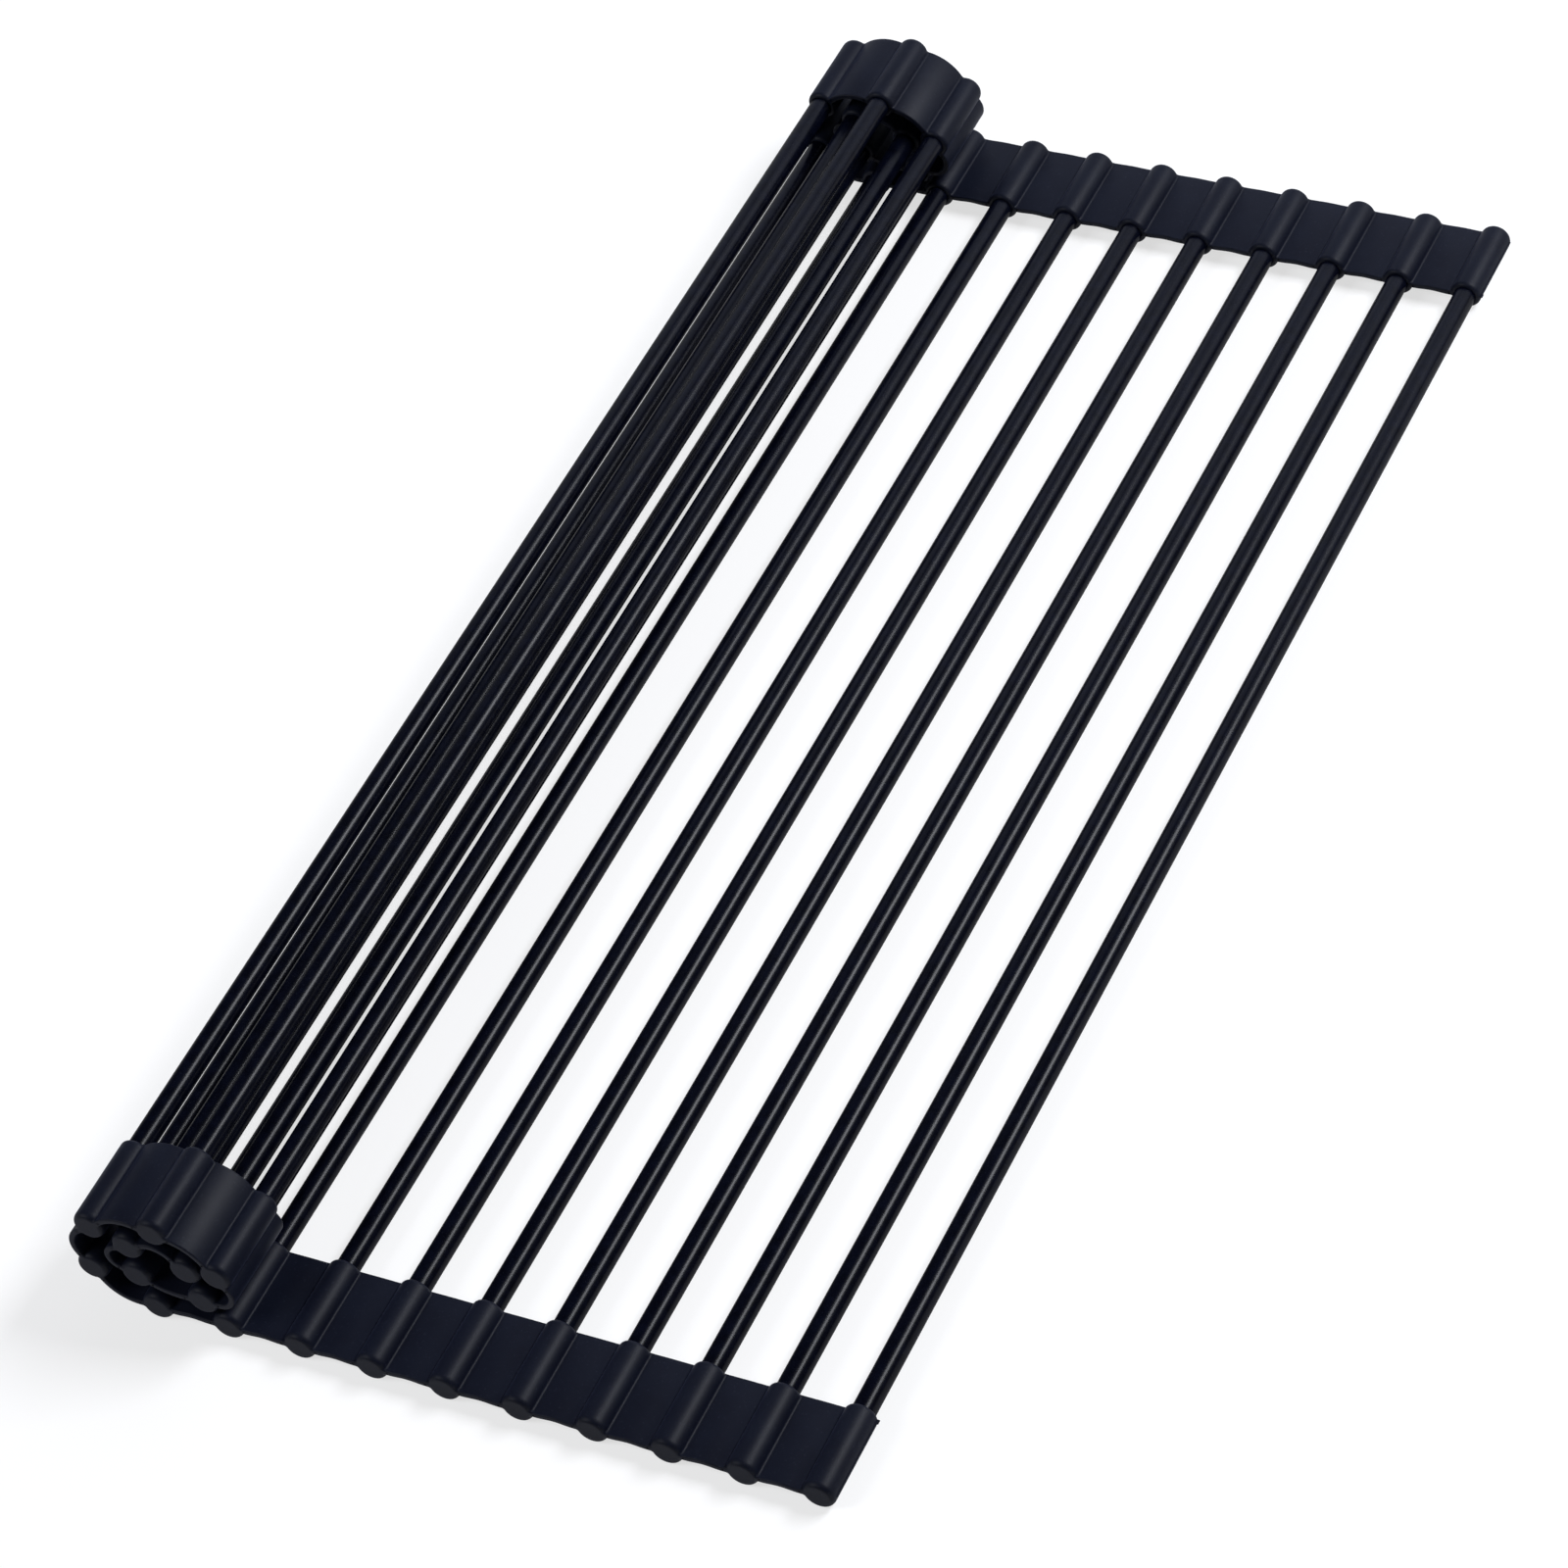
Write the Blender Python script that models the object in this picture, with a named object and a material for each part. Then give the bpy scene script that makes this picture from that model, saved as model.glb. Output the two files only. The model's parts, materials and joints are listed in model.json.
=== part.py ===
"""Roll up dish drying rack: eighteen coated steel tubes held in two silicone strips, half of it rolled up.

X runs along the strips, Y along the tubes and Z up. The rack stands on Z = 0, about the middle of its footprint.
"""
import bmesh
import bpy
import math
from mathutils import Matrix, Vector

# Driving dimensions, in metres
RACK_LENGTH = 0.521         # over both strips' outer ends, along the tubes
TUBE_DIAMETER = 0.007
TUBE_WALL = 0.0006
BORE_CLEARANCE = 0.00025    # all round a tube in its sleeve's blind bore
END_CLEARANCE = 0.0003      # from a tube's end to the bottom of its bore
SLEEVE_WALL = 0.00115
SLEEVE_END_WALL = 0.003     # closes the outer end of a sleeve
STRIP_WIDTH = 0.0294        # of a strip, along the tubes
WEB_THICKNESS = 0.0018
WEB_SPLIT = 0.00095         # at the middle of each web, where two segments of a strip meet
LIP_REACH = 0.0008          # of the moulding lip on a strip's two free ends
COIL_GAP = 0.00031          # between the sleeves of the coil that all but touch

# Counts
TUBE_COUNT = 18
FLOOR_TUBE = 10             # the last tube on the floor, under the coil
TUBE_SIDES = 20
SLEEVE_SIDES = 24
WEB_STEPS = 4

# The coil, from the web beside the floor tube to the web beside the inner end
COIL_TURNS = (60, 82, 50, 48, 118, 25, 133, 75)     # degrees that each web turns
# How far towards the coil's inside each web's hinge line lies from the strip's middle plane, of the pitch
COIL_RISE_SHARES = (0.07, 0.075, 0.07, 0.035, 0.083, -0.167, 0.079, 0.0)
FLAT_RISE_SHARE = 0.088     # the same for the webs of the flat half, which curl up
BACK_RISE_SHARE = -0.088    # and for the web beside the floor tube, which only bends back
TOUCH_SHARE = 0.4434        # between the centres of the coil's closest sleeves, of the pitch

# Sizes that follow
BORE_DIAMETER = TUBE_DIAMETER + 2 * BORE_CLEARANCE
SLEEVE_DIAMETER = BORE_DIAMETER + 2 * SLEEVE_WALL
PITCH = (SLEEVE_DIAMETER + COIL_GAP) / TOUCH_SHARE
BORE_DEPTH = STRIP_WIDTH - SLEEVE_END_WALL
TUBE_LENGTH = RACK_LENGTH - 2 * (SLEEVE_END_WALL + END_CLEARANCE)
WEB_ROOT = math.sqrt((SLEEVE_DIAMETER / 2) ** 2 - (WEB_THICKNESS / 2) ** 2)


def clear_scene():
    for item in list(bpy.data.objects):
        bpy.data.objects.remove(item, do_unlink=True)


def make_material(name, colour, roughness, metallic):
    material = bpy.data.materials.new(name)
    material.use_nodes = True
    shader = material.node_tree.nodes["Principled BSDF"]
    shader.inputs["Base Color"].default_value = colour
    shader.inputs["Roughness"].default_value = roughness
    shader.inputs["Metallic"].default_value = metallic
    return material


def circle(diameter, sides):
    """Points of a round section that lies flat side down, anticlockwise from +X."""
    turns = [(side + 0.5) * math.tau / sides for side in range(sides)]
    return [(math.cos(turn) * diameter / 2, math.sin(turn) * diameter / 2) for turn in turns]


def web_between(rod):
    """Turn in radians and hinge rise of the web between a rod and the next one inwards."""
    if rod >= FLOOR_TUBE:
        place = rod - FLOOR_TUBE
        return math.radians(COIL_TURNS[place]), COIL_RISE_SHARES[place] * PITCH
    if rod == FLOOR_TUBE - 1:
        return 0.0, BACK_RISE_SHARE * PITCH
    return 0.0, FLAT_RISE_SHARE * PITCH


def half_web(turn, rise):
    """Lower and upper edge of half a web that leaves its sleeve along +X and curls up by half of its turn."""
    half = WEB_THICKNESS / 2
    if turn == 0:
        reach = (PITCH - WEB_SPLIT) / 2
        return [(WEB_ROOT, -half), (reach, -half)], [(WEB_ROOT, half), (reach, half)]
    radius = rise + (PITCH / 2 - WEB_ROOT) / math.tan(turn / 2)
    last = turn / 2 - WEB_SPLIT / 2 / radius
    bends = [step * last / WEB_STEPS for step in range(WEB_STEPS + 1)]
    lower = [(WEB_ROOT + (radius + half) * math.sin(a), radius - (radius + half) * math.cos(a)) for a in bends]
    upper = [(WEB_ROOT + (radius - half) * math.sin(a), radius - (radius - half) * math.cos(a)) for a in bends]
    return lower, upper


def free_lip():
    """Lower and upper edge of the moulding lip on the free side of a strip's end sleeve."""
    half = WEB_THICKNESS / 2
    reach = SLEEVE_DIAMETER / 2 + LIP_REACH
    return [(WEB_ROOT, -half), (reach, -half)], [(WEB_ROOT, half), (reach, half)]


def strip_section(rod):
    """Outline of one sleeve with its half webs, anticlockwise; +X points to the next rod outwards."""
    outward = free_lip() if rod == 1 else half_web(*web_between(rod - 1))
    inward = free_lip() if rod == TUBE_COUNT else half_web(*web_between(rod))
    sleeve = [point for point in circle(SLEEVE_DIAMETER, SLEEVE_SIDES) if abs(point[1]) > WEB_THICKNESS / 2]
    lower, upper = outward
    points = lower + upper[::-1]
    points += [point for point in sleeve if point[1] > 0]
    lower, upper = [[(-x, z) for x, z in edge] for edge in inward]
    points += upper + lower[::-1]
    points += [point for point in sleeve if point[1] < 0]
    return points


def ring(shape, points, y):
    """A closed loop of vertices at one place along Y."""
    return [shape.verts.new((x, y, z)) for x, z in points]


def wall(shape, first, second):
    """Faces between two loops of as many vertices."""
    for index in range(len(first)):
        after = (index + 1) % len(first)
        shape.faces.new((first[index], first[after], second[after], second[index]))


def loop_edges(shape, loop):
    return [shape.edges.get((loop[index - 1], loop[index])) for index in range(len(loop))]


def finish(shape, name, material, parent, centre):
    """Turn a bmesh into a named object that hangs from its hinge."""
    bmesh.ops.recalc_face_normals(shape, faces=shape.faces[:])
    mesh = bpy.data.meshes.new(name)
    shape.to_mesh(mesh)
    shape.free()
    mesh.materials.append(material)
    mesh.shade_smooth()
    mesh.set_sharp_from_angle(angle=math.radians(30))
    item = bpy.data.objects.new(name, mesh)
    bpy.context.collection.objects.link(item)
    item.parent = parent
    item.location = centre
    return item


def make_tube(name, material, parent, centre):
    """A round tube, open at both ends."""
    shape = bmesh.new()
    outside = circle(TUBE_DIAMETER, TUBE_SIDES)
    inside = circle(TUBE_DIAMETER - 2 * TUBE_WALL, TUBE_SIDES)
    near_outer = ring(shape, outside, -TUBE_LENGTH / 2)
    far_outer = ring(shape, outside, TUBE_LENGTH / 2)
    near_inner = ring(shape, inside, -TUBE_LENGTH / 2)
    far_inner = ring(shape, inside, TUBE_LENGTH / 2)
    wall(shape, near_outer, far_outer)
    wall(shape, near_inner, far_inner)
    wall(shape, near_outer, near_inner)
    wall(shape, far_outer, far_inner)
    return finish(shape, name, material, parent, centre)


def make_strip_segment(name, rod, side, material, parent, centre):
    """A blind sleeve with half of the web on each side of it; side is -1 at the near end and 1 at the far end."""
    shape = bmesh.new()
    outer_y = side * RACK_LENGTH / 2
    mouth_y = outer_y - side * STRIP_WIDTH
    bottom_y = mouth_y + side * BORE_DEPTH
    outline = strip_section(rod)
    bore = circle(BORE_DIAMETER, TUBE_SIDES)
    outer_end = ring(shape, outline, outer_y)
    mouth = ring(shape, outline, mouth_y)
    bore_mouth = ring(shape, bore, mouth_y)
    bore_bottom = ring(shape, bore, bottom_y)
    wall(shape, outer_end, mouth)
    wall(shape, bore_mouth, bore_bottom)
    shape.faces.new(outer_end)
    shape.faces.new(bore_bottom)
    rim = loop_edges(shape, mouth) + loop_edges(shape, bore_mouth)
    bmesh.ops.triangle_fill(shape, use_beauty=True, edges=rim)
    return finish(shape, name, material, parent, centre)


def rod_frames():
    """For each rod, its centre, its turn about Y, and the hinge line that it moves about."""
    along = Vector((PITCH / 2, 0, 0))
    frames = {FLOOR_TUBE: (Vector((0, 0, 0)), 0.0, Vector((0, 0, 0)))}
    for rod in range(FLOOR_TUBE, TUBE_COUNT):
        centre, angle, _ = frames[rod]
        turn, rise = web_between(rod)
        lift = Vector((0, 0, rise))
        hinge = centre + Matrix.Rotation(angle, 3, "Y") @ (lift - along)
        angle += turn
        frames[rod + 1] = (hinge - Matrix.Rotation(angle, 3, "Y") @ (lift + along), angle, hinge)
    for rod in range(FLOOR_TUBE - 1, 0, -1):
        centre = Vector(((FLOOR_TUBE - rod) * PITCH, 0, 0))
        lift = Vector((0, 0, web_between(rod)[1]))
        frames[rod] = (centre, 0.0, centre + lift - along)
    return frames


def make_hinge(rod, parent, hinge, angle):
    """An empty on the line that a rod and its two strip segments move about."""
    empty = bpy.data.objects.new(f"hinge_{rod:02d}", None)
    empty.empty_display_size = SLEEVE_DIAMETER
    bpy.context.collection.objects.link(empty)
    empty.matrix_world = Matrix.Translation(hinge) @ Matrix.Rotation(angle, 4, "Y")
    if parent:
        empty.parent = parent
        empty.matrix_parent_inverse = parent.matrix_world.inverted()
    return empty


def stand_on_floor(root, frames):
    """Move the rack so that it stands on Z = 0 about the middle of its footprint."""
    bpy.context.view_layer.update()
    meshes = [item for item in bpy.data.objects if item.type == "MESH"]
    xs = [(item.matrix_world @ vertex.co).x for item in meshes for vertex in item.data.vertices]
    middle = (min(xs) + max(xs)) / 2
    flat_depth = SLEEVE_DIAMETER / 2 * math.cos(math.pi / SLEEVE_SIDES)
    root.location = frames[FLOOR_TUBE][2] + Vector((-middle, 0, flat_depth))


def build_rack():
    clear_scene()
    steel = make_material("black_coated_steel", (0.008, 0.008, 0.010, 1), 0.35, 0.0)
    silicone = make_material("navy_silicone", (0.013, 0.015, 0.024, 1), 0.75, 0.0)
    frames = rod_frames()
    hinges = {}
    inwards = range(FLOOR_TUBE, TUBE_COUNT + 1)
    outwards = range(FLOOR_TUBE - 1, 0, -1)
    for rod in [*inwards, *outwards]:
        centre, angle, hinge = frames[rod]
        parent = hinges.get(rod - 1 if rod > FLOOR_TUBE else rod + 1)
        hinges[rod] = make_hinge(rod, parent, hinge, angle)
        offset = Matrix.Rotation(-angle, 3, "Y") @ (centre - hinge)
        make_tube(f"tube_{rod:02d}", steel, hinges[rod], offset)
        make_strip_segment(f"near_strip_{rod:02d}", rod, -1, silicone, hinges[rod], offset)
        make_strip_segment(f"far_strip_{rod:02d}", rod, 1, silicone, hinges[rod], offset)
    stand_on_floor(hinges[FLOOR_TUBE], frames)


build_rack()
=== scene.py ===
"""Looks of the roll up dish drying rack: round tubes, whole silicone strips with webs that bend, studio.

X runs along the strips, Y along the tubes and Z up, as in the frame. The two strips are called near (-Y) and
far (+Y), and rod 1 is the one at the flat half's free end, rod 18 the one at the coil's inner end.
"""
import bmesh
import bpy
import json
import math
from mathutils import Matrix, Vector


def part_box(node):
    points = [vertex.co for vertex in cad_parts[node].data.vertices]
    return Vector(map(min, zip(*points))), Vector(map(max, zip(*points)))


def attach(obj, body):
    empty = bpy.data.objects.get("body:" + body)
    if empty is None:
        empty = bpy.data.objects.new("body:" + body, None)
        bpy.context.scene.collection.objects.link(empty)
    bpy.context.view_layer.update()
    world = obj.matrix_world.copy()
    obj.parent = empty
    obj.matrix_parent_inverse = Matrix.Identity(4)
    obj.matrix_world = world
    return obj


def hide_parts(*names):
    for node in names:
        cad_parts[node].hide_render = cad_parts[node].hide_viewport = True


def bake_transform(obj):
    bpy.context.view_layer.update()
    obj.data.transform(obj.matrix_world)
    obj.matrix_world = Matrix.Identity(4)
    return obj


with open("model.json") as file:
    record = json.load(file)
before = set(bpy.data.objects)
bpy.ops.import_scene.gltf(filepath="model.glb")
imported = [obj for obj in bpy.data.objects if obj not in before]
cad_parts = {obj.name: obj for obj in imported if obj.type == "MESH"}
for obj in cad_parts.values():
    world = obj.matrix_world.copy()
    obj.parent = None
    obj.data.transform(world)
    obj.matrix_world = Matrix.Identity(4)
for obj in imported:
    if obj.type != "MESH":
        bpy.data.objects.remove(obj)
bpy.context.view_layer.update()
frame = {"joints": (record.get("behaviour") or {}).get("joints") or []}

MM = 0.001

# The rack, read from the frame
RODS = range(1, 19)
FLOOR_ROD = 10                  # the last rod on the floor; the coil starts behind it
JOINTS = {joint["name"]: joint for joint in frame["joints"]}


def middle(node):
    """Middle of a CAD node's box."""
    low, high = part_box(node)
    return (low + high) / 2


CENTRES = {rod: middle(f"tube_{rod:02d}") for rod in RODS}
TUBE_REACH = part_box("tube_01")[1].y
RACK_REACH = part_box("far_strip_01")[1].y
STRIP_WIDTH = RACK_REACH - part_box("far_strip_01")[0].y
SLEEVE_RADIUS = CENTRES[1].z

# Sizes that the frame doesn't give
TUBE_RADIUS = 3.5 * MM
TUBE_WALL = 0.6 * MM
TUBE_EDGE = 0.4 * MM
BORE_RADIUS = 3.56 * MM
BORE_DEPTH = 26.4 * MM
LIP_REACH = 0.1 * MM            # of the soft lip at a bore's mouth, which grips the tube
LIP_LENGTH = 0.4 * MM
WEB_THICKNESS = 1.8 * MM
WEB_EDGE = 0.45 * MM
WEB_ARCH = {-1: (0.45 * MM, 0.05 * MM), 1: (0.15 * MM, 0.35 * MM)}   # upward bow of the flat webs, out and in
WEB_TUCK = 0.4 * MM             # how far a web's ends run into the sleeves' flares
TUCK_SHARE = 0.97               # of the web's thickness, at its hidden ends
FLARE_REACH = 5.6 * MM          # from a sleeve's centre to where its flare meets the web
FLARE_RADIUS = 0.8 * MM         # hollow between a sleeve and the web
END_FLARE_RADIUS = 1.3 * MM     # the same at the strip's edges
END_ROUNDING = (1.9 * MM, 1.3 * MM)         # along the sleeve and across it, at its outer end
END_FACE_RADIUS = 2.6 * MM
MOUTH_ROUNDING = (1.5 * MM, 1.2 * MM)       # the same round the tube
FIN_REACH = 0.3 * MM            # of the mould's parting fin on a strip's two free flanks
FIN_THICKNESS = 0.6 * MM
FIN_TAPER_SHARE = 0.6
NUB_REACH = 0.65 * MM
NUB_LENGTH = 1.3 * MM
WELD = 0.001 * MM
DEPTH_DECIMALS = 7              # of a metre: depths that agree this far are the same
SHARP_TURN = math.radians(50)

# Steps round each shape
ROUND_STEPS = 72
ARC_STEPS = 14
FLARE_STEPS = 8
FREE_STEPS = ARC_STEPS + FLARE_STEPS + 2    # in a quarter without a web: as many as in one with its web
CORNER_STEPS = 4
END_STEPS = 6
WEB_STEPS = 40

SIDES = {-1: "near", 1: "far"}
FREE_FLANKS = {RODS[0]: 1, RODS[-1]: -1}    # the two end rods' flanks without a web: 1 outwards, -1 inwards


def rest_turn(rod):
    """How far the web between a rod and the next one inwards is curled at rest, in radians."""
    if rod < FLOOR_ROD:
        return 0.0
    return math.radians(-JOINTS[f"web_{rod:02d}_{rod + 1:02d}"]["range_deg"][0])


def rest_angles():
    """How far each rod is turned about Y at rest, in radians."""
    angles = {rod: 0.0 for rod in range(1, FLOOR_ROD + 1)}
    for rod in range(FLOOR_ROD, RODS[-1]):
        angles[rod + 1] = angles[rod] + rest_turn(rod)
    return angles


ANGLES = rest_angles()


def rod_frame(rod):
    """Where a rod lies: its own X runs along the strip, outwards, and its own Z to the coil's inside."""
    return Matrix.Translation(CENTRES[rod]) @ Matrix.Rotation(ANGLES[rod], 4, "Y")


# Materials

# Sizes of the patterns
MOTTLE_SIZE = 11 * MM           # soft patches in the silicone, from how it flowed in the mould
DUST_SIZE = 0.7 * MM            # real dust is finer: drawn this coarse so that a render shows it
SATIN_SIZE = 2.5 * MM           # patches of the mould that came out more or less matt
RIPPLE_SIZE = 8 * MM            # unevenness that a soft moulding has
GRAIN_SIZE = 0.3 * MM           # the mould's grain is about 0.05 mm: drawn coarser so that a render shows it
COAT_MOTTLE_SIZE = 3.3 * MM     # clouds in the powder coat, from how thick it lies
SPECK_SIZE = 0.4 * MM           # grains of powder, drawn some four times as coarse as they are
COAT_SATIN_SIZE = 1.1 * MM      # patches of the coat that baked a little more or less glossy
PEEL_SIZE = 0.65 * MM           # orange peel of a baked powder coat
RIPPLE_DEPTH = 0.3 * MM
GRAIN_DEPTH = 0.03 * MM
PEEL_DEPTH = 0.02 * MM


def srgb(code):
    """Linear colour of a six-digit sRGB hex code."""
    parts = [int(code[place:place + 2], 16) / 255 for place in (0, 2, 4)]
    linear = [part / 12.92 if part <= 0.04045 else ((part + 0.055) / 1.055) ** 2.4 for part in parts]
    return (*linear, 1.0)


def add_node(tree, kind, settings=None, inputs=None):
    """Add a node with its settings; each input takes a value, or a link from another node's output."""
    node = tree.nodes.new(kind)
    for name, value in (settings or {}).items():
        setattr(node, name, value)
    for name, value in (inputs or {}).items():
        if isinstance(value, bpy.types.NodeSocket):
            tree.links.new(value, node.inputs[name])
        else:
            node.inputs[name].default_value = value
    return node


def moulded_silicone():
    """Silicone rubber, pressed in an eroded mould and left as it comes out.

    It is dark navy and matt, with hardly a highlight: faint mottling, a fine grain that breaks up the weak
    shine of its skin, dust that clings to it, and a little dusty sheen where it turns away. The skin's shine
    is mostly the shader's coat, because it stays weak at a slant, where the base's own would turn the rubber
    grey.
    """
    material = bpy.data.materials.new("moulded_silicone")
    material.use_nodes = True
    tree = material.node_tree
    place = add_node(tree, "ShaderNodeTexCoord").outputs["Object"]
    mottle = add_node(tree, "ShaderNodeTexNoise", {}, {
        "Vector": place, "Scale": 1 / MOTTLE_SIZE, "Detail": 4})
    mottled = add_node(tree, "ShaderNodeMapRange", {}, {
        "Value": mottle.outputs["Fac"], "From Min": 0.35, "From Max": 0.65})
    rubber = add_node(tree, "ShaderNodeMix", {"data_type": "RGBA"}, {
        "Factor": mottled.outputs["Result"], "A": srgb("070A17"), "B": srgb("0A0E1B")})
    dust = add_node(tree, "ShaderNodeTexNoise", {}, {
        "Vector": place, "Scale": 1 / DUST_SIZE, "Detail": 3})
    dusted = add_node(tree, "ShaderNodeMapRange", {}, {
        "Value": dust.outputs["Fac"], "From Min": 0.62, "From Max": 0.8, "To Max": 0.10})
    colour = add_node(tree, "ShaderNodeMix", {"data_type": "RGBA"}, {
        "Factor": dusted.outputs["Result"], "A": rubber.outputs["Result"], "B": srgb("5A5F70")})
    satin = add_node(tree, "ShaderNodeTexNoise", {}, {
        "Vector": place, "Scale": 1 / SATIN_SIZE, "Detail": 3})
    roughness = add_node(tree, "ShaderNodeMapRange", {}, {
        "Value": satin.outputs["Fac"], "To Min": 0.53, "To Max": 0.61})
    ripple = add_node(tree, "ShaderNodeTexNoise", {}, {
        "Vector": place, "Scale": 1 / RIPPLE_SIZE, "Detail": 2})
    rippled = add_node(tree, "ShaderNodeBump", {}, {
        "Height": ripple.outputs["Fac"], "Strength": 0.10, "Distance": RIPPLE_DEPTH})
    grain = add_node(tree, "ShaderNodeTexNoise", {}, {
        "Vector": place, "Scale": 1 / GRAIN_SIZE, "Detail": 2})
    grained = add_node(tree, "ShaderNodeBump", {}, {
        "Height": grain.outputs["Fac"], "Strength": 0.22, "Distance": GRAIN_DEPTH,
        "Normal": rippled.outputs["Normal"]})
    shader = tree.nodes["Principled BSDF"]
    tree.links.new(colour.outputs["Result"], shader.inputs["Base Color"])
    tree.links.new(roughness.outputs["Result"], shader.inputs["Roughness"])
    tree.links.new(grained.outputs["Normal"], shader.inputs["Normal"])
    tree.links.new(grained.outputs["Normal"], shader.inputs["Coat Normal"])
    shader.inputs["IOR"].default_value = 1.41
    shader.inputs["Specular IOR Level"].default_value = 0.03
    shader.inputs["Coat Weight"].default_value = 0.21
    shader.inputs["Coat Roughness"].default_value = 0.5
    shader.inputs["Sheen Weight"].default_value = 0.05
    shader.inputs["Sheen Roughness"].default_value = 0.4
    shader.inputs["Sheen Tint"].default_value = srgb("9AA4D0")
    return material


def powder_coated_steel():
    """Drawn steel tube under a black powder coat, baked to a satin skin.

    It is near black with one narrow, soft streak of light along each tube, broken a little by fine orange
    peel and by grains of powder. The skin's shine comes from the shader's coat, over a base that has none of
    its own.
    """
    material = bpy.data.materials.new("powder_coated_steel")
    material.use_nodes = True
    tree = material.node_tree
    place = add_node(tree, "ShaderNodeTexCoord").outputs["Object"]
    mottle = add_node(tree, "ShaderNodeTexNoise", {}, {
        "Vector": place, "Scale": 1 / COAT_MOTTLE_SIZE, "Detail": 4})
    mottled = add_node(tree, "ShaderNodeMapRange", {}, {
        "Value": mottle.outputs["Fac"], "From Min": 0.35, "From Max": 0.65})
    coat = add_node(tree, "ShaderNodeMix", {"data_type": "RGBA"}, {
        "Factor": mottled.outputs["Result"], "A": srgb("02030B"), "B": srgb("050713")})
    speck = add_node(tree, "ShaderNodeTexNoise", {}, {
        "Vector": place, "Scale": 1 / SPECK_SIZE, "Detail": 2})
    specked = add_node(tree, "ShaderNodeMapRange", {}, {
        "Value": speck.outputs["Fac"], "From Min": 0.62, "From Max": 0.8, "To Max": 0.07})
    colour = add_node(tree, "ShaderNodeMix", {"data_type": "RGBA"}, {
        "Factor": specked.outputs["Result"], "A": coat.outputs["Result"], "B": srgb("5A5F70")})
    satin = add_node(tree, "ShaderNodeTexNoise", {}, {
        "Vector": place, "Scale": 1 / COAT_SATIN_SIZE, "Detail": 3})
    roughness = add_node(tree, "ShaderNodeMapRange", {}, {
        "Value": satin.outputs["Fac"], "To Min": 0.40, "To Max": 0.50})
    peel = add_node(tree, "ShaderNodeTexNoise", {}, {
        "Vector": place, "Scale": 1 / PEEL_SIZE, "Detail": 2})
    peeled = add_node(tree, "ShaderNodeBump", {}, {
        "Height": peel.outputs["Fac"], "Strength": 0.08, "Distance": PEEL_DEPTH})
    shader = tree.nodes["Principled BSDF"]
    tree.links.new(colour.outputs["Result"], shader.inputs["Base Color"])
    tree.links.new(roughness.outputs["Result"], shader.inputs["Roughness"])
    tree.links.new(peeled.outputs["Normal"], shader.inputs["Normal"])
    tree.links.new(peeled.outputs["Normal"], shader.inputs["Coat Normal"])
    shader.inputs["Specular IOR Level"].default_value = 0.0
    shader.inputs["Coat Weight"].default_value = 0.23
    shader.inputs["Coat Roughness"].default_value = 0.27
    return material


# Drawing and joining outlines

def draw_line(shape, vertex, move):
    """Draw on from a vertex, straight; gives the last vertex."""
    drawn = bmesh.ops.extrude_vert_indiv(shape, verts=[vertex])["verts"]
    bmesh.ops.translate(shape, verts=drawn, vec=move)
    return drawn[0]


def draw_arc(shape, vertex, centre, turn, steps):
    """Draw on from a vertex round a centre, anticlockwise from the near end; gives the last vertex."""
    arc = bmesh.ops.spin(shape, geom=[vertex], cent=centre, axis=(0, -1, 0), angle=turn, steps=steps)
    return arc["geom_last"][0]


def add_circle(shape, radius, y, filled=False):
    """A circle round the Y axis; gives its edges."""
    lie = Matrix.Translation((0, y, 0)) @ Matrix.Rotation(math.pi / 2, 4, "X")
    circle = bmesh.ops.create_circle(shape, cap_ends=filled, segments=ROUND_STEPS, radius=radius, matrix=lie)
    return list(dict.fromkeys(edge for vertex in circle["verts"] for edge in vertex.link_edges))


def rim_at(shape, y):
    """Open edges of a shape at one place along Y."""
    return [edge for edge in shape.edges if edge.is_boundary and abs(edge.verts[0].co.y - y) < WELD]


def finish_piece(shape, name, material):
    """Turn a bmesh into a named object with the given material."""
    bmesh.ops.recalc_face_normals(shape, faces=shape.faces[:])
    mesh = bpy.data.meshes.new(name)
    shape.to_mesh(mesh)
    shape.free()
    mesh.materials.append(material)
    mesh.shade_smooth()
    mesh.set_sharp_from_angle(angle=SHARP_TURN)
    piece = bpy.data.objects.new(name, mesh)
    bpy.context.scene.collection.objects.link(piece)
    return piece


# The tubes

def make_tube(rod, material):
    """A steel tube, open at both ends, which lie hidden in the sleeves."""
    shape = bmesh.new()
    lie = Matrix.Rotation(math.pi / 2, 4, "X")
    bmesh.ops.create_cone(shape, segments=ROUND_STEPS, radius1=TUBE_RADIUS, radius2=TUBE_RADIUS,
                          depth=2 * TUBE_REACH, matrix=lie)
    rims = rim_at(shape, -TUBE_REACH) + rim_at(shape, TUBE_REACH)
    bmesh.ops.solidify(shape, geom=shape.faces[:], thickness=TUBE_WALL)
    bmesh.ops.bevel(shape, geom=rims, offset=TUBE_EDGE, segments=CORNER_STEPS, profile=0.5, affect="EDGES",
                    material=-1)
    bmesh.ops.translate(shape, verts=shape.verts, vec=CENTRES[rod])
    piece = finish_piece(shape, f"round_tube_{rod:02d}", material)
    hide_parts(f"tube_{rod:02d}")
    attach(piece, f"rod_{rod:02d}")


# The strips' sleeves

def inset(depth, rounding):
    """How far a surface has drawn in at a depth from the end that it is rounded to."""
    along, across = rounding
    if depth >= along:
        return 0.0
    return across * (1 - math.sqrt(1 - (1 - depth / along) ** 2))


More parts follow.
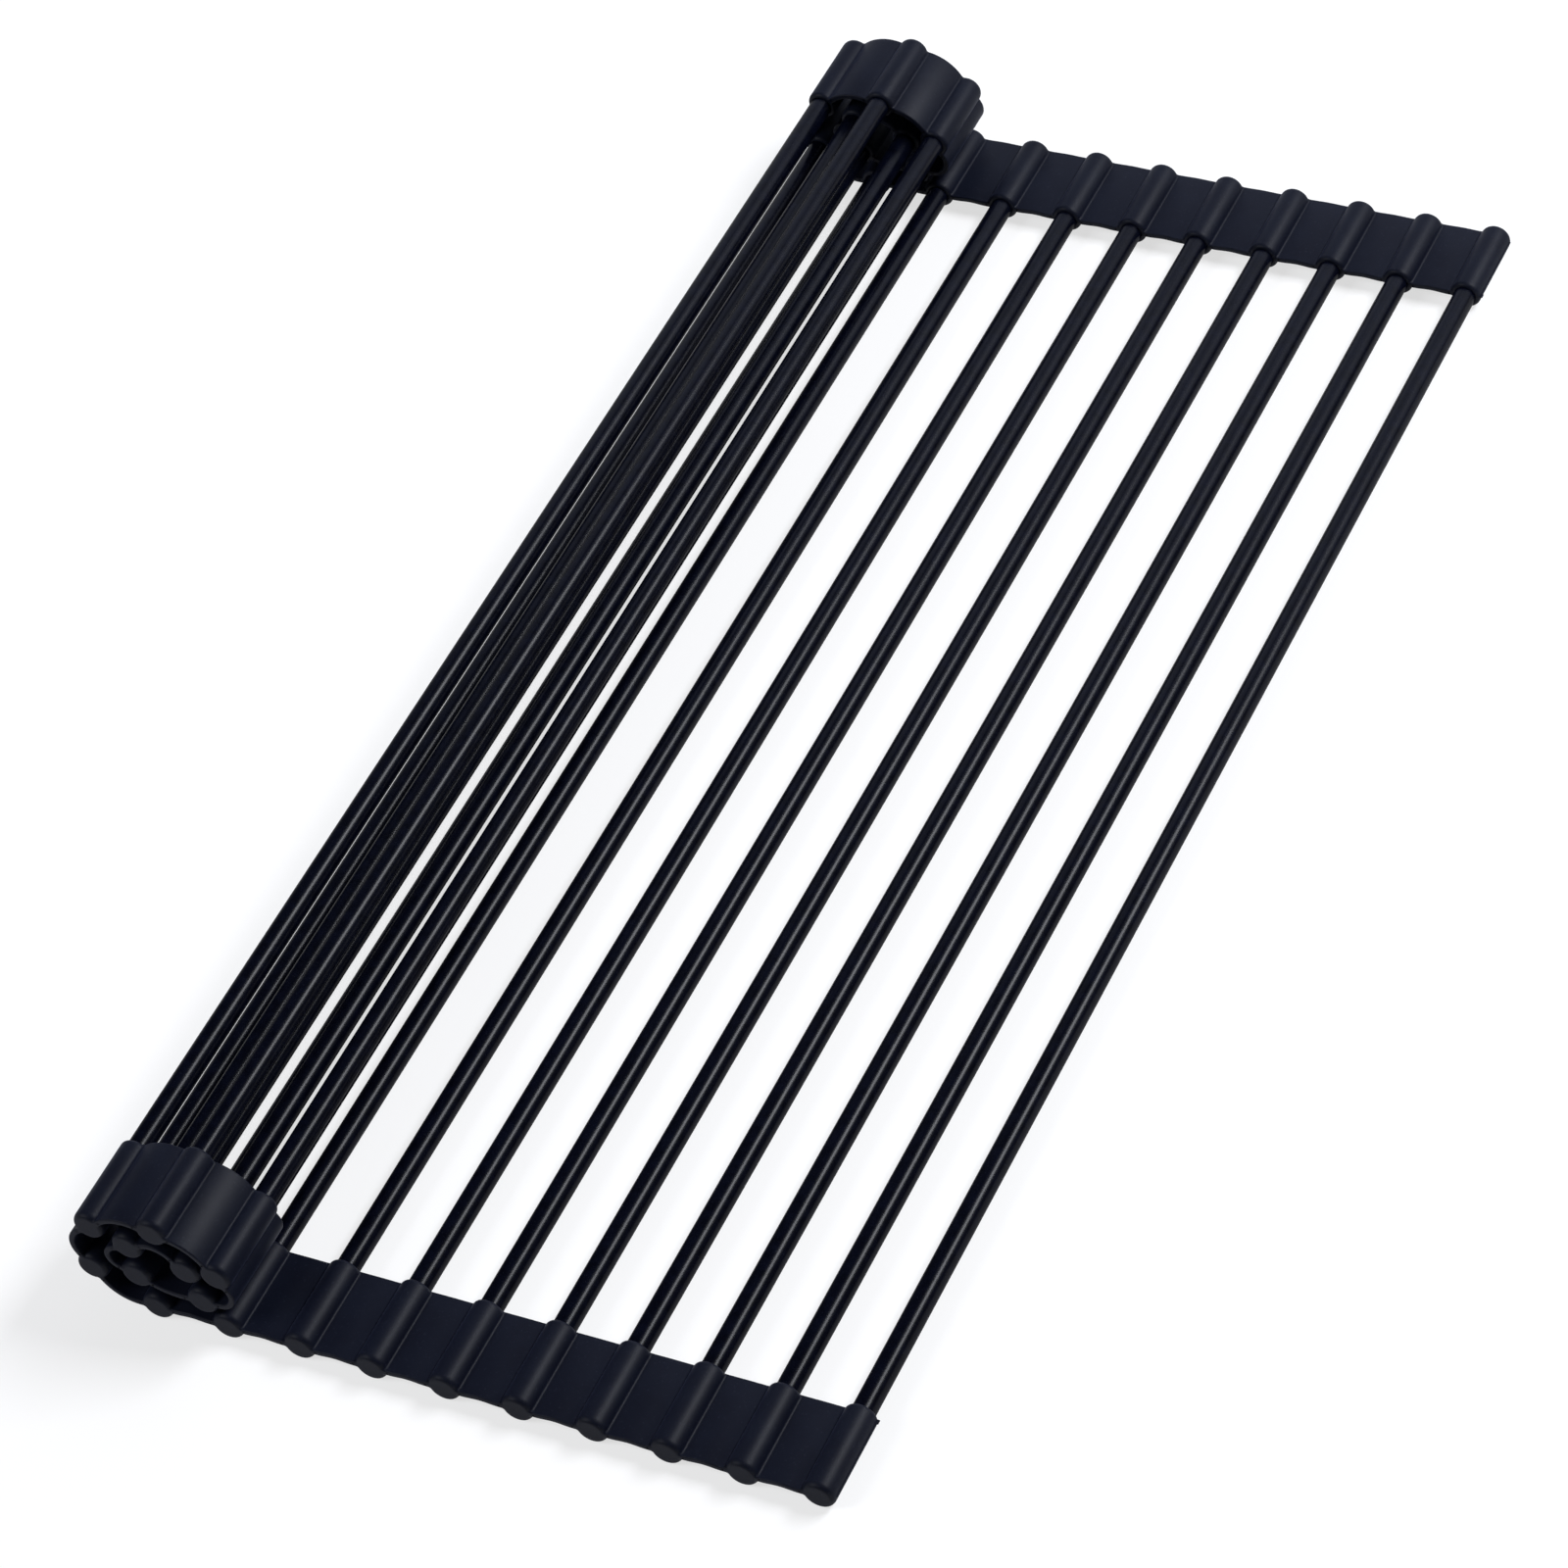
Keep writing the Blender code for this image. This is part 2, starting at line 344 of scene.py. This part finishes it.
def stations(roundings):
    """Depths from an end at which its roundings need an outline."""
    depths = {0.0}
    for along, _ in roundings:
        for step in range(1, END_STEPS + 1):
            depths.add(round(along * (1 - math.cos(step / END_STEPS * math.pi / 2)), DEPTH_DECIMALS))
    return sorted(depths)


def draw_half_outline(shape, y, radius, half, flare, free):
    """Upper half of a sleeve's outline at one place along it, from flank to flank; gives its edges.

    free tells which flank has no web: 1 outwards, -1 inwards, 0 neither. The other flanks run out to a web of
    this half thickness, in a hollow of the flare's radius.
    """
    count = len(shape.edges)
    rise = math.asin((half + flare) / (radius + flare))
    lean = math.pi / 2 - rise
    hollow = Vector(((radius + flare) * math.cos(rise), y, half + flare))
    centre = Vector((0, y, 0))
    if free == 1:
        crown = draw_arc(shape, shape.verts.new((radius, y, 0)), centre, math.pi / 2, FREE_STEPS)
    else:
        edge = draw_line(shape, shape.verts.new((FLARE_REACH, y, 0)), (0, 0, half))
        foot = draw_line(shape, edge, (hollow.x - FLARE_REACH, 0, 0))
        hip = draw_arc(shape, foot, hollow, -lean, FLARE_STEPS)
        crown = draw_arc(shape, hip, centre, lean, ARC_STEPS)
    if free == -1:
        draw_arc(shape, crown, centre, math.pi / 2, FREE_STEPS)
    else:
        hip = draw_arc(shape, crown, centre, lean, ARC_STEPS)
        foot = draw_arc(shape, hip, Vector((-hollow.x, y, hollow.z)), -lean, FLARE_STEPS)
        edge = draw_line(shape, foot, (hollow.x - FLARE_REACH, 0, 0))
        draw_line(shape, edge, (0, 0, -half))
    shape.edges.ensure_lookup_table()
    return shape.edges[count:]


def add_sleeve_skin(shape, side, free):
    """A sleeve's outside, drawn in at both ends: its upper half through outlines, then the mirror image."""
    edge = (WEB_EDGE, WEB_EDGE)
    outer = [(depth, END_ROUNDING, depth) for depth in stations((END_ROUNDING, edge))]
    mouth = [(STRIP_WIDTH - depth, MOUTH_ROUNDING, depth) for depth in stations((MOUTH_ROUNDING, edge))]
    outlines = []
    for place, rounding, depth in outer + mouth[::-1]:
        drawn = inset(depth, rounding)
        flare = FLARE_RADIUS + (END_FLARE_RADIUS - FLARE_RADIUS) * drawn / rounding[1]
        half = WEB_THICKNESS / 2 - inset(depth, edge)
        y = side * (RACK_REACH - place)
        outlines.append(draw_half_outline(shape, y, SLEEVE_RADIUS - drawn, half, flare, free))
    for first, second in zip(outlines, outlines[1:]):
        bmesh.ops.bridge_loops(shape, edges=first + second)
    whole = shape.verts[:] + shape.edges[:] + shape.faces[:]
    bmesh.ops.mirror(shape, geom=whole, merge_dist=WELD, axis="Z")


def add_bore(shape, side):
    """The blind bore round the tube, with the lip at its mouth, and the sleeve's two end faces."""
    y_mouth = side * (RACK_REACH - STRIP_WIDTH)
    rims = rim_at(shape, side * RACK_REACH)
    face = add_circle(shape, END_FACE_RADIUS, side * RACK_REACH, filled=True)
    bmesh.ops.triangle_fill(shape, use_beauty=True, edges=rims + face)
    rims = rim_at(shape, y_mouth)
    circles = [add_circle(shape, BORE_RADIUS, y_mouth),
               add_circle(shape, BORE_RADIUS - LIP_REACH, y_mouth + side * LIP_REACH),
               add_circle(shape, BORE_RADIUS, y_mouth + side * LIP_LENGTH),
               add_circle(shape, BORE_RADIUS, y_mouth + side * BORE_DEPTH, filled=True)]
    bmesh.ops.triangle_fill(shape, use_beauty=True, edges=rims + circles[0])
    for first, second in zip(circles, circles[1:]):
        bmesh.ops.bridge_loops(shape, edges=first + second)


def add_bar(shape, flank, reach, y_from, y_to):
    """A thin bar along Y that stands out of a sleeve's free flank and narrows outwards."""
    middle_x = flank * (SLEEVE_RADIUS + (reach - FIN_REACH) / 2)
    place = Matrix.Translation((middle_x, (y_from + y_to) / 2, 0))
    size = Matrix.Diagonal((FIN_REACH + reach, abs(y_to - y_from), FIN_THICKNESS, 1))
    bar = bmesh.ops.create_cube(shape, size=1, matrix=place @ size)["verts"]
    tip = [vertex for vertex in bar if abs(vertex.co.x) > SLEEVE_RADIUS]
    bmesh.ops.scale(shape, verts=tip, vec=(1, 1, FIN_TAPER_SHARE))


def add_fin(shape, flank, side):
    """The mould's parting fin on a free flank, with its nub beside the mouth."""
    y_outer = side * (RACK_REACH - END_ROUNDING[0])
    y_mouth = side * (RACK_REACH - STRIP_WIDTH + MOUTH_ROUNDING[0] / 2)
    add_bar(shape, flank, FIN_REACH, y_outer, y_mouth)
    add_bar(shape, flank, NUB_REACH, y_mouth + side * NUB_LENGTH, y_mouth)


def draw_sleeve(side, free):
    """A blind sleeve about its own axis, with soft ends and flares into the webs beside it."""
    shape = bmesh.new()
    add_sleeve_skin(shape, side, free)
    add_bore(shape, side)
    if free:
        add_fin(shape, free, side)
    return shape


def make_sleeves(side, material):
    """One strip's sleeves, copied from three patterns: free inwards, not free, free outwards."""
    patterns = {free: draw_sleeve(side, free) for free in (-1, 0, 1)}
    for rod in RODS:
        shape = patterns[FREE_FLANKS.get(rod, 0)].copy()
        bmesh.ops.transform(shape, matrix=rod_frame(rod), verts=shape.verts)
        name = SIDES[side]
        piece = finish_piece(shape, f"{name}_sleeve_{rod:02d}", material)
        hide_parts(f"{name}_strip_{rod:02d}")
        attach(piece, f"rod_{rod:02d}")
    for pattern in patterns.values():
        pattern.free()


# The strips' webs

def add_web_cut(shape, start, side):
    """A cut across a web where it starts, with rounded corners."""
    y_middle = side * (RACK_REACH - STRIP_WIDTH / 2)
    stand = Matrix.Translation((0, y_middle, 0)) @ Matrix.Rotation(math.pi / 2, 4, "Y")
    size = Matrix.Diagonal((WEB_THICKNESS, STRIP_WIDTH, 1, 1))
    bmesh.ops.create_grid(shape, x_segments=1, y_segments=1, size=0.5, matrix=start @ stand @ size)
    bmesh.ops.bevel(shape, geom=shape.verts[:] + shape.edges[:], offset=WEB_EDGE, segments=CORNER_STEPS,
                    profile=0.5, affect="VERTICES", material=-1)


def bow_web(shape, start_x, span, side):
    """Lift a flat web between its sleeves, by one bow at the strip's edge and the other at the mouths."""
    outer_bow, mouth_bow = WEB_ARCH[side]
    for vertex in shape.verts:
        share = min(max((start_x - vertex.co.x) / span, 0), 1)
        inwards = (RACK_REACH - side * vertex.co.y) / STRIP_WIDTH
        vertex.co.z += math.sin(math.pi * share) ** 2 * (outer_bow + (mouth_bow - outer_bow) * inwards)


def make_web(rod, side, material):
    """The flexible web between a sleeve and the next one inwards, drawn as it lies at rest."""
    shape = bmesh.new()
    start_frame = rod_frame(rod) @ Matrix.Translation((-FLARE_REACH, 0, 0))
    start = start_frame.translation
    end = rod_frame(rod + 1) @ Vector((FLARE_REACH, 0, 0))
    span = (end - start).length
    turn = ANGLES[rod + 1] - ANGLES[rod]
    add_web_cut(shape, start_frame, side)
    first_cap = shape.faces[:][0]
    cut = shape.verts[:] + shape.edges[:] + shape.faces[:]
    if turn:
        radius = span / (2 * math.sin(turn / 2))
        swept = bmesh.ops.spin(shape, geom=cut, cent=start_frame @ Vector((0, 0, radius)), axis=(0, 1, 0),
                               angle=turn, steps=WEB_STEPS)
    else:
        swept = bmesh.ops.spin(shape, geom=cut, cent=start, axis=(0, 1, 0), dvec=(-span / WEB_STEPS, 0, 0),
                               angle=0, steps=WEB_STEPS)
    last_cap = [item for item in swept["geom_last"] if isinstance(item, bmesh.types.BMFace)][0]
    for cap, owner, into in ((first_cap, rod, 1), (last_cap, rod + 1, -1)):
        grown = bmesh.ops.extrude_face_region(shape, geom=[cap, *cap.edges, *cap.verts])["geom"]
        ends = [item for item in grown if isinstance(item, bmesh.types.BMVert)]
        tuck = Matrix.Translation((into * WEB_TUCK, 0, 0)) @ Matrix.Diagonal((1, 1, TUCK_SHARE, 1))
        bmesh.ops.transform(shape, matrix=tuck, space=rod_frame(owner).inverted(), verts=ends)
    if not turn:
        bow_web(shape, start.x, span, side)
    name = f"{SIDES[side]}_web_{rod:02d}_{rod + 1:02d}"
    piece = finish_piece(shape, name, material)
    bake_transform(piece)


# Stage, light and camera

FLOOR_REACH = 12.0
FLOOR_GLOW = 0.68               # share of plain white in the floor as it is seen; the rest keeps the shadows


def matt_paper():
    """Matt white background paper: plain white where it is seen, but with the rack's soft shadow kept."""
    material = bpy.data.materials.new("matt_paper")
    material.use_nodes = True
    tree = material.node_tree
    tree.nodes.remove(tree.nodes["Principled BSDF"])
    rays = add_node(tree, "ShaderNodeLightPath").outputs
    mirrored = add_node(tree, "ShaderNodeMath", {"operation": "MAXIMUM"}, {
        0: rays["Is Glossy Ray"], 1: rays["Is Transmission Ray"]})
    shown = add_node(tree, "ShaderNodeMath", {"operation": "MAXIMUM"}, {
        0: rays["Is Camera Ray"], 1: mirrored.outputs["Value"]})
    paper = add_node(tree, "ShaderNodeBsdfDiffuse", {}, {"Color": srgb("E7E7E7")})
    white = add_node(tree, "ShaderNodeBsdfDiffuse", {}, {"Color": srgb("FFFFFF")})
    glow = add_node(tree, "ShaderNodeEmission", {}, {"Strength": 1.0})
    seen = add_node(tree, "ShaderNodeMixShader", {}, {
        "Fac": FLOOR_GLOW, 1: white.outputs["BSDF"], 2: glow.outputs["Emission"]})
    surface = add_node(tree, "ShaderNodeMixShader", {}, {
        "Fac": shown.outputs["Value"], 1: paper.outputs["BSDF"], 2: seen.outputs["Shader"]})
    tree.links.new(surface.outputs["Shader"], tree.nodes["Material Output"].inputs["Surface"])
    return material


def make_floor():
    """A plain pale floor, wide enough to reach past every view."""
    shape = bmesh.new()
    bmesh.ops.create_grid(shape, x_segments=1, y_segments=1, size=FLOOR_REACH)
    mesh = bpy.data.meshes.new("floor")
    shape.to_mesh(mesh)
    shape.free()
    mesh.materials.append(matt_paper())
    floor = bpy.data.objects.new("floor", mesh)
    bpy.context.scene.collection.objects.link(floor)


LAMP_WHITE = (0.93, 0.95, 1.0)      # a little cool, as daylight lamps are
BOARD_WHITE = (0.76, 0.82, 1.0)     # cooler still: boards that only catch the room's daylight

# Each lamp's name, place and sides in metres, power in watts, and colour
LAMPS = (
    ("key_softbox", (1.14, 0.95, 1.72), (0.62, 1.15), 57, LAMP_WHITE),
    ("front_fill", (-2.4, -2.0, 2.6), (1.6, 1.6), 74, LAMP_WHITE),
    ("back_board_left", (-1.1, 2.0, 1.0), (2.0, 1.8), 13, BOARD_WHITE),
    ("back_board_right", (0.6, 2.0, 1.0), (2.0, 1.8), 16, BOARD_WHITE),
)


def area_light(name, place, size, power, colour):
    """A softbox that faces the rack, its first side across it and its second along Y as near as it can."""
    data = bpy.data.lights.new(name, "AREA")
    data.shape = "RECTANGLE"
    data.size, data.size_y = size
    data.energy = power
    data.color = colour
    light = bpy.data.objects.new(name, data)
    back = Vector(place).normalized()
    across = Vector((0, 1, 0)).cross(back).normalized()
    turn = Matrix((across, back.cross(across), back)).transposed().to_4x4()
    light.matrix_world = Matrix.Translation(place) @ turn
    bpy.context.scene.collection.objects.link(light)


# Height of a ray, from level to straight up, and the studio's grey there
STUDIO_SHADES = ((0.0, 0.45), (0.10, 0.20), (0.35, 0.05), (1.0, 0.03))


def make_studio():
    """A dim studio, paler towards the horizon."""
    world = bpy.data.worlds.new("studio")
    world.use_nodes = True
    tree = world.node_tree
    ray = add_node(tree, "ShaderNodeTexCoord").outputs["Generated"]
    height = add_node(tree, "ShaderNodeSeparateXYZ", {}, {"Vector": ray}).outputs["Z"]
    ramp = add_node(tree, "ShaderNodeValToRGB", {}, {"Fac": height})
    elements = ramp.color_ramp.elements
    elements[0].position, elements[1].position = STUDIO_SHADES[0][0], STUDIO_SHADES[-1][0]
    for place, _ in STUDIO_SHADES[1:-1]:
        elements.new(place)
    for element, (_, grey) in zip(elements, STUDIO_SHADES):
        element.color = (grey, grey, grey, 1)
    tree.links.new(ramp.outputs["Color"], tree.nodes["Background"].inputs["Color"])
    bpy.context.scene.world = world


def make_lights():
    """Every lamp of the table."""
    for name, place, size, power, colour in LAMPS:
        area_light(name, place, size, power, colour)


# The camera, fitted to the photograph
CAMERA_PLACE = (0.6785, -1.0548, 1.2654)
CAMERA_AZIMUTH = 33.684         # degrees, turned from +Y towards -X
CAMERA_DOWN = 45.52             # degrees below level
CAMERA_ROLL = -12.19            # degrees
CAMERA_LENS = 136.7             # millimetres, on the default sensor


def make_camera():
    """A camera where the photograph was taken from."""
    data = bpy.data.cameras.new("camera")
    data.lens = CAMERA_LENS
    camera = bpy.data.objects.new("camera", data)
    turn = Matrix.Rotation(math.radians(CAMERA_AZIMUTH), 4, "Z")
    tilt = Matrix.Rotation(math.radians(90 - CAMERA_DOWN), 4, "X")
    roll = Matrix.Rotation(math.radians(CAMERA_ROLL), 4, "Z")
    camera.matrix_world = Matrix.Translation(CAMERA_PLACE) @ turn @ tilt @ roll
    bpy.context.scene.collection.objects.link(camera)
    bpy.context.scene.camera = camera


def dress():
    """Every piece of the rack, in place of the CAD nodes."""
    steel = powder_coated_steel()
    rubber = moulded_silicone()
    for rod in RODS:
        make_tube(rod, steel)
    for side in SIDES:
        make_sleeves(side, rubber)
        for rod in RODS[:-1]:
            make_web(rod, side, rubber)


dress()
make_floor()
make_studio()
make_lights()
make_camera()
bpy.context.scene.view_settings.view_transform = "Standard"
